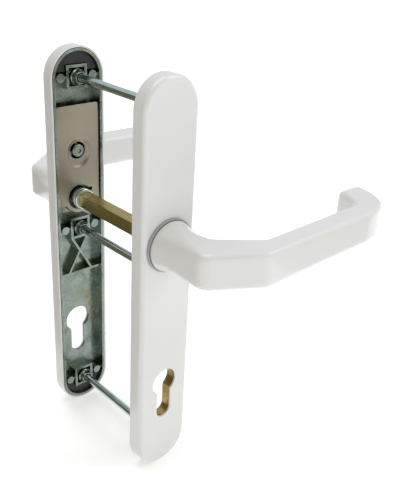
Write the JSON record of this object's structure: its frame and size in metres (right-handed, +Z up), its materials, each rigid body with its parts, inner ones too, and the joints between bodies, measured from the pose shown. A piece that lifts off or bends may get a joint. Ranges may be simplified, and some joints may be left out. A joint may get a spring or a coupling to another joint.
{
  "type": "lever door handle set",
  "caption": "Lever door handle set: long rounded backplates with profile-cylinder keyholes, levers with returned ends, a square spindle and through screws.",
  "frame": {"origin": "on the spindle's axis, midway between the two plates", "axes": "+X the way the levers point, +Y towards the inside of the door, +Z up"},
  "size_m": [0.1622, 0.2227, 0.2465],
  "materials": {
    "white_coating": "satin",
    "zinc_casting": "satin",
    "steel_sheet": "satin",
    "spring_steel": "satin",
    "black_plastic": "matte",
    "grey_nylon": "satin",
    "yellow_passivate": "satin",
    "bright_zinc": "polished",
    "olive_passivate": "satin"
  },
  "bodies": {
    "plates": {"outside_cover": "white_coating", "outside_base_casting": "zinc_casting", "outside_upper_end_pad": "black_plastic", "outside_lower_end_pad": "black_plastic", "outside_cassette_cover": "steel_sheet", "outside_return_spring": "spring_steel", "outside_spring_post": "bright_zinc", "outside_bearing_ring": "grey_nylon", "outside_upper_screw_collar": "bright_zinc", "outside_middle_screw_collar": "bright_zinc", "outside_lower_screw_collar": "bright_zinc", "inside_cover": "white_coating", "inside_base_casting": "zinc_casting", "inside_upper_end_pad": "black_plastic", "inside_lower_end_pad": "black_plastic", "inside_cassette_cover": "steel_sheet", "inside_return_spring": "spring_steel", "inside_spring_post": "bright_zinc", "inside_bearing_ring": "grey_nylon", "inside_upper_screw_collar": "bright_zinc", "inside_middle_screw_collar": "bright_zinc", "inside_lower_screw_collar": "bright_zinc", "outside_cylinder_guard": "yellow_passivate", "upper_fixing_screw": "bright_zinc", "middle_fixing_screw": "bright_zinc", "lower_fixing_screw": "bright_zinc"},
    "levers": {"outside_lever": "white_coating", "outside_hub": "olive_passivate", "outside_circlip": "spring_steel", "outside_grub_screw": "spring_steel", "inside_lever": "white_coating", "inside_hub": "olive_passivate", "inside_circlip": "spring_steel", "inside_grub_screw": "spring_steel", "spindle": "olive_passivate"}
  },
  "joints": [
    {"name": "lever_turn", "type": "hinge", "parent": "plates", "child": "levers", "pos_m": [0, 0, 0], "axis": [0, 1, 0], "range_deg": [-45, 45], "stiffness_Nm_per_rad": 4, "springref_deg": -3.44}
  ]
}
